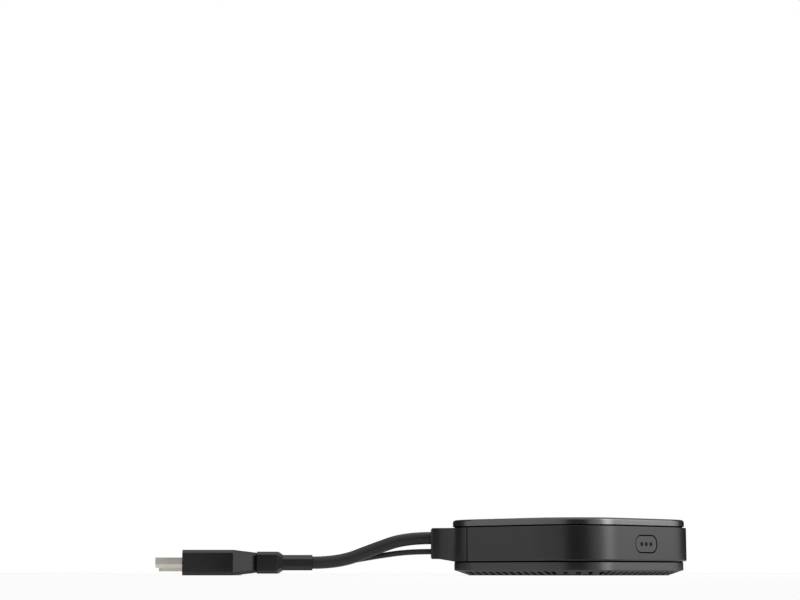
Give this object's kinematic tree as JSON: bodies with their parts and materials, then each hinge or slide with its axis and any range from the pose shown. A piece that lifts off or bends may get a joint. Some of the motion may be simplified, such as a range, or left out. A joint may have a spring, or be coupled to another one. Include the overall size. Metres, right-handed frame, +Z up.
{
  "type": "wireless presentation dongle",
  "caption": "Flat rounded-square puck with a round press button on top, a small key in one side, and short corner cords that end in a video plug and a power plug.",
  "frame": {"origin": "middle of the foot, on the surface that the puck stands on", "axes": "+Z up out of the press button; the cords leave the corner that points along -X; the mode key is in the wall that faces +X and -Y"},
  "size_m": [0.2328, 0.103, 0.0239],
  "materials": {
    "gloss_shell": "polished black moulding",
    "satin_shell": "fine satin black moulding",
    "matt_shell": "fine spark-textured black moulding",
    "foot_rubber": "matt black",
    "light_guide": "milky translucent",
    "button_plastic": "fine satin black moulding",
    "key_plastic": "satin",
    "switch_housing": "matt",
    "switch_stem": "matt",
    "circuit_board": "solder-resist green",
    "chip_epoxy": "matt epoxy",
    "ferrite": "matt grey",
    "aluminium_can": "drawn",
    "tinned_steel": "tinned",
    "soft_pad": "soft grey-blue",
    "spreader_aluminium": "extruded",
    "ribbon_film": "white film",
    "connector_nylon": "natural nylon",
    "lamp_resin": "clear resin",
    "screw_steel": "zinc plated",
    "cord_rubber": "satin black jacket",
    "clamp_plastic": "matt",
    "wire_jacket": "grey jacket",
    "plug_plastic": "matt black overmould",
    "plated_shell": "nickel plated",
    "insert_plastic": "black insulator",
    "tongue_plastic": "white insulator"
  },
  "bodies": {
    "root": {"top_cap": "gloss_shell", "side_band": "satin_shell", "cable_end_cap": "satin_shell", "bottom_cover": "matt_shell", "base_foot": "foot_rubber", "light_ring": "light_guide", "press_switch": "switch_housing", "mode_switch": "switch_housing", "main_board": "circuit_board", "button_board": "circuit_board", "mode_board": "circuit_board", "wireless_module": "circuit_board", "aerials": "circuit_board", "processor": "chip_epoxy", "memory_chips": "chip_epoxy", "inductors": "ferrite", "capacitors": "aluminium_can", "module_shield": "tinned_steel", "thermal_pad": "soft_pad", "heat_spreader": "spreader_aluminium", "ribbon_cable": "ribbon_film", "ribbon_sockets": "connector_nylon", "lead_headers": "connector_nylon", "ring_leds": "lamp_resin", "main_board_screws": "screw_steel", "button_board_screws": "screw_steel", "housing_screws": "screw_steel", "cord_grommet": "cord_rubber", "cord_clamp": "clamp_plastic", "video_lead": "cord_rubber", "power_lead": "cord_rubber", "video_inner_wires": "wire_jacket", "power_inner_wires": "wire_jacket", "video_cord": "cord_rubber", "power_cord": "cord_rubber", "video_strain_relief": "plug_plastic", "video_plug_body": "plug_plastic", "video_plug_shell": "plated_shell", "video_contact_block": "insert_plastic", "power_strain_relief": "plug_plastic", "power_plug_body": "plug_plastic", "power_plug_shell": "plated_shell", "power_tongue": "tongue_plastic"},
    "press_button_body": {"press_button": "button_plastic", "press_switch_stem": "switch_stem"},
    "mode_button_body": {"mode_button": "key_plastic", "mode_switch_stem": "switch_stem"}
  },
  "joints": [
    {"name": "press_button_push", "type": "slide", "parent": "root", "child": "press_button_body", "axis": [0, 0, -1], "range_m": [0, 0.0005], "stiffness_N_per_m": 3200},
    {"name": "mode_button_push", "type": "slide", "parent": "root", "child": "mode_button_body", "axis": [-0.7071, 0.7071, 0], "range_m": [0, 0.0004], "stiffness_N_per_m": 3000}
  ]
}
